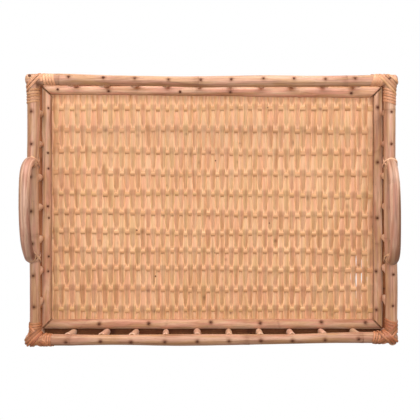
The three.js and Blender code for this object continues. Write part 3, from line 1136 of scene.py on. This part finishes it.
def add_winding(build, centre_line, near, far, poles, pitch, width, lean, seed):
    """A strand wound round a pole: centre_line gives its middle and direction at a distance."""
    random = np.random.default_rng(seed)
    turns = (far - near) / pitch
    angle = np.linspace(0, 2 * math.pi * turns, int(44 * turns)) + random.uniform(0, 6)
    place = near + (angle - angle[0]) / (2 * math.pi) * pitch + lean * np.cos(angle)
    centre, axis = centre_line(place)
    side = unit(np.cross(axis, UP + 1e-3 * Y if abs(axis[2]) < 0.5 else Y))
    ring = np.cos(angle)[:, None] * side + np.sin(angle)[:, None] * np.cross(side, axis)
    add_strand(build, centre + ring * 8 * MM, poles, WINDING_LIFT, random, width)


# How each corner is bound, in mm. long and short say where the windings run along each rail from
# the corner's middle. cut strands run across the corner from rail to rail, and over strands from
# its inside to its outside, each given by how far from the corner's middle it crosses. nail is
# where a nail stands, along and across the tray from the corner's middle.
CORNER_LASHINGS = {
    "back_left": {
        "long": (11, 26), "short": (13, 28), "cut": [1.2, 4.8], "over": [],
        "width": 3.4, "lean": 1.8, "pitch": 1.04, "skin": PEEL_SKIN, "nail": (-2.8, 4.2),
    },
    "back_right": {
        "long": (9, 23), "short": (12, 28), "cut": [-3.4, 0.2, 3.6, 7.0], "over": [],
        "width": 3.4, "lean": -1.6, "pitch": 1.04, "skin": PEEL_SKIN, "nail": (-1.8, 0.8),
    },
    "front_left": {
        "long": (8, 22), "short": (8, 22), "cut": [0.8, 3.6, 6.4, 9.2],
        "over": [-7.4, -4.6, -1.8, 1.0, 3.8], "width": 2.6, "lean": 0.6, "pitch": 1.06,
        "skin": OLD_PEEL_SKIN,
    },
    "front_right": {
        "long": (8, 23), "short": (8, 23), "cut": [2.6, 5.8, 9.0], "over": [-1.6, 1.8, 5.2],
        "width": 2.9, "lean": -1.6, "pitch": 1.2, "skin": OLD_PEEL_SKIN,
    },
}


def make_corner_lashings():
    nails = []
    for index, (corner, (sign_x, sign_y)) in enumerate(CORNERS.items()):
        lashing = CORNER_LASHINGS[corner]
        long_side, short_side = corner.split("_")
        seed = 600 + 20 * index
        random = np.random.default_rng(seed)
        long_shift, long_radius = rail_shape(long_side, sign_x * RAIL_X)
        short_shift, short_radius = rail_shape(short_side, sign_y * RAIL_Y)
        x, y = sign_x * (RAIL_X + short_shift), sign_y * (RAIL_Y + long_shift)
        centre = np.array([x, y, RAIL_LEVEL])
        to_x, to_y = -sign_x * X, -sign_y * Y
        rail_end = centre.copy()
        rail_end[0] = sign_x * (box(f"{long_side}_rail")[1][0] - 0.4 * MM)
        poles = [
            (rail_end, centre + to_x * CORNER_REACH, long_radius),
            (centre, centre + to_y * CORNER_REACH, short_radius),
        ]
        build = Build()
        width = lashing["width"] * MM
        for axis, key in ((to_x, "long"), (to_y, "short")):
            near, far = lashing[key]
            add_winding(
                build, lambda place: (centre + place[:, None] * axis, axis), near * MM, far * MM,
                poles, width * lashing["pitch"], width, lashing["lean"] * MM, seed + 3,
            )
            seed += 1
        inward, cross = unit(to_x + to_y), unit(to_x - to_y)
        # First the strands that run across the corner from rail to rail, then those over them.
        for key, way, turned, lean, layer, wide in (
            ("cut", inward, cross, 0.06, 0.5, 1.0), ("over", cross, inward, 0.12, 1.1, 1.15),
        ):
            for reach in lashing[key]:
                across = unit(turned + random.uniform(-lean, lean) * way)
                path = taut_loop(poles, centre + way * reach * MM, across, UP)
                lift = layer * STRAND_THICKNESS
                add_strand(build, path, poles, lift, random, wide * width, loop=True)
        build.piece(f"{corner}_lashing", [lashing["skin"]], [f"{corner}_corner_binding"])
        if "nail" in lashing:
            x, y = np.array(lashing["nail"]) * MM
            z = math.sqrt(long_radius**2 - y**2) + 0.5 * MM
            nails.append(centre + np.array([x, y, z]))
    add_nails("corner_nails", nails, UP, 95, CORNER_NAIL_RADIUS)


def make_handle_lashings():
    """Peel wound round the foot of each leg, and crossed over the rail under it."""
    for index, side in enumerate(("left", "right")):
        for leg_index, leg in enumerate(("back", "front")):
            seed = 700 + 10 * index + leg_index
            random = np.random.default_rng(seed)
            bend = [np.array(p) for p in shoulder_points(side, leg)[:3]]
            foot = rail_point(side, bend[0][1])
            rail_radius = rail_shape(side, bend[0][1])[1]
            poles = [(foot - 40 * MM * Y, foot + 40 * MM * Y, rail_radius)]
            poles += [(a, b, HANDLE_RADIUS) for a, b in zip(bend, bend[1:])]
            build = Build()
            upright = unit(bend[1] - bend[0])
            add_winding(
                build, lambda place: (bend[0] + place[:, None] * upright, upright), *LEG_WINDING,
                poles, LEG_PITCH, LEG_STRAND_WIDTH, 0.8 * MM, seed,
            )
            for slant, layer in ((-0.75, 0.5), (0.75, 1.0)):
                path = taut_loop(poles, foot + UP * 4 * MM, X, unit(UP + slant * Y))
                lift = layer * STRAND_THICKNESS
                add_strand(build, path, poles, lift, random, LEG_STRAND_WIDTH, loop=True)
            build.piece(f"{side}_handle_{leg}_lashing", [LEG_PEEL_SKIN])


make_rails()
make_base()
make_spindles()
make_posts()
make_beads()
make_mat()
make_handles()
make_corner_lashings()
make_handle_lashings()


# ---- camera, light and floor ----
FLOOR_REACH = 6.0
FLOOR_DROP = 0.1 * MM  # the floor lies this far below the tray's feet, so that they don't touch


def make_floor():
    """A white floor. It is bright to look at, but throws only a little light up at the tray."""
    g = Graph(bpy.data.materials.new("floor_white"))
    place = g.node("TexCoord", {}).outputs["Object"]
    speckle = g.spread(g.noise(place, (9, 9, 9), 2), 0.3, 0.7)
    g.finish(
        Base_Color=g.mix(speckle, linear(206, 204, 202), linear(212, 210, 208)), Roughness=0.9
    )
    lit = g.tree.nodes["Principled BSDF"].outputs[0]
    white = g.node("Emission", {"Color": (1.0, 1.0, 1.0, 1.0)}).outputs[0]
    looking = g.node("LightPath", {}).outputs["Is Camera Ray"]
    seen = g.node("MixShader", {0: looking, 1: lit, 2: white})
    g.put(g.tree.nodes["Material Output"].inputs["Surface"], seen.outputs[0])
    mesh = bpy.data.meshes.new("floor")
    corners = [(FLOOR_REACH * x, FLOOR_REACH * y, 0) for x, y in ((-1, -1), (1, -1), (1, 1), (-1, 1))]
    mesh.from_pydata(corners, [], [(0, 1, 2, 3)])
    mesh.materials.append(g.owner)
    floor = add_object("floor", mesh)
    floor.location.z = -FLOOR_DROP


LIGHT_TARGET = Vector((0, 0, 0.02))


def add_light(name, place, size, power):
    light = bpy.data.lights.new(name, "AREA")
    light.shape = "RECTANGLE"
    light.size, light.size_y = size
    light.energy = power
    made = add_object(name, light)
    made.location = place
    made.rotation_euler = (LIGHT_TARGET - Vector(place)).to_track_quat("-Z", "Y").to_euler()


def make_lights():
    """A wide soft light above the tray, a low one behind it, and a sky dimmer in front."""
    add_light("key", (-0.05, 0.15, 1.25), (1.5, 0.5), 12.5)
    add_light("back_low", (0, 0.86, 0.42), (1.7, 0.4), 12.5)
    g = Graph(bpy.data.worlds.new("studio"))
    direction = g.node("SeparateXYZ", {0: g.node("TexCoord", {}).outputs["Generated"]})
    strength = g.spread(direction.outputs["Y"], -1.0, 1.0, 0.16, 0.46, "LINEAR")
    sky = g.tree.nodes["Background"].inputs
    g.put(sky["Color"], (1.0, 0.9, 0.8, 1.0))
    g.put(sky["Strength"], strength)
    bpy.context.scene.world = g.owner


CAMERA_PLACE = (0.0201, 0.0646, 0.86)  # it looks straight down
CAMERA_LENS = 56.3
CAMERA_SHIFT = (-0.043, -0.126)


def make_camera():
    camera = bpy.data.cameras.new("camera")
    camera.lens = CAMERA_LENS
    camera.shift_x, camera.shift_y = CAMERA_SHIFT
    made = add_object("camera", camera)
    made.location = CAMERA_PLACE
    bpy.context.scene.camera = made


make_floor()
make_lights()
make_camera()
bpy.context.scene.view_settings.view_transform = "Standard"

bpy.context.view_layer.update()
